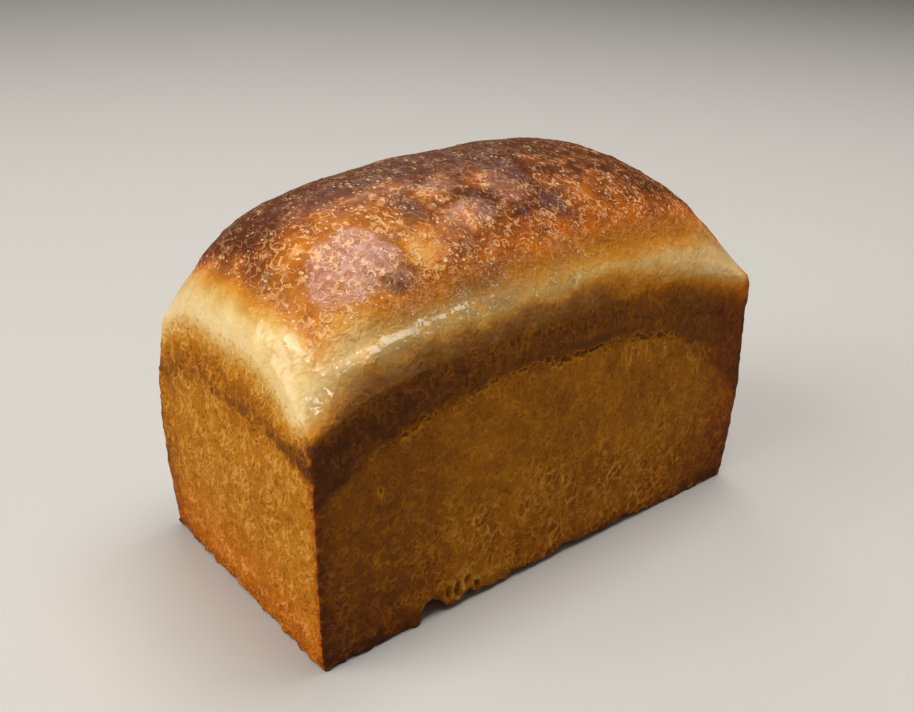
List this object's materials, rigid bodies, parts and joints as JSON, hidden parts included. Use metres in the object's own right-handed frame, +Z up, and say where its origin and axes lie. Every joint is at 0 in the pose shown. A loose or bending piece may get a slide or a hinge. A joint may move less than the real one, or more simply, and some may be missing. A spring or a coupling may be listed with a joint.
{
  "type": "tin loaf",
  "caption": "Uncut tall loaf of bread from a tin: straight moulded walls, a rolled shoulder along the rim and a high domed crust.",
  "frame": {"origin": "middle of the underside, on the surface that the loaf stands on", "axes": "+X along the loaf, -Y out of the long wall with the torn lower edge, +Z up"},
  "size_m": [0.223, 0.1214, 0.1541],
  "materials": {
    "crust": "baked crust: golden brown walls, cream shoulder, glossy dark brown top"
  },
  "bodies": {
    "root": {"loaf": "crust"}
  },
  "joints": []
}
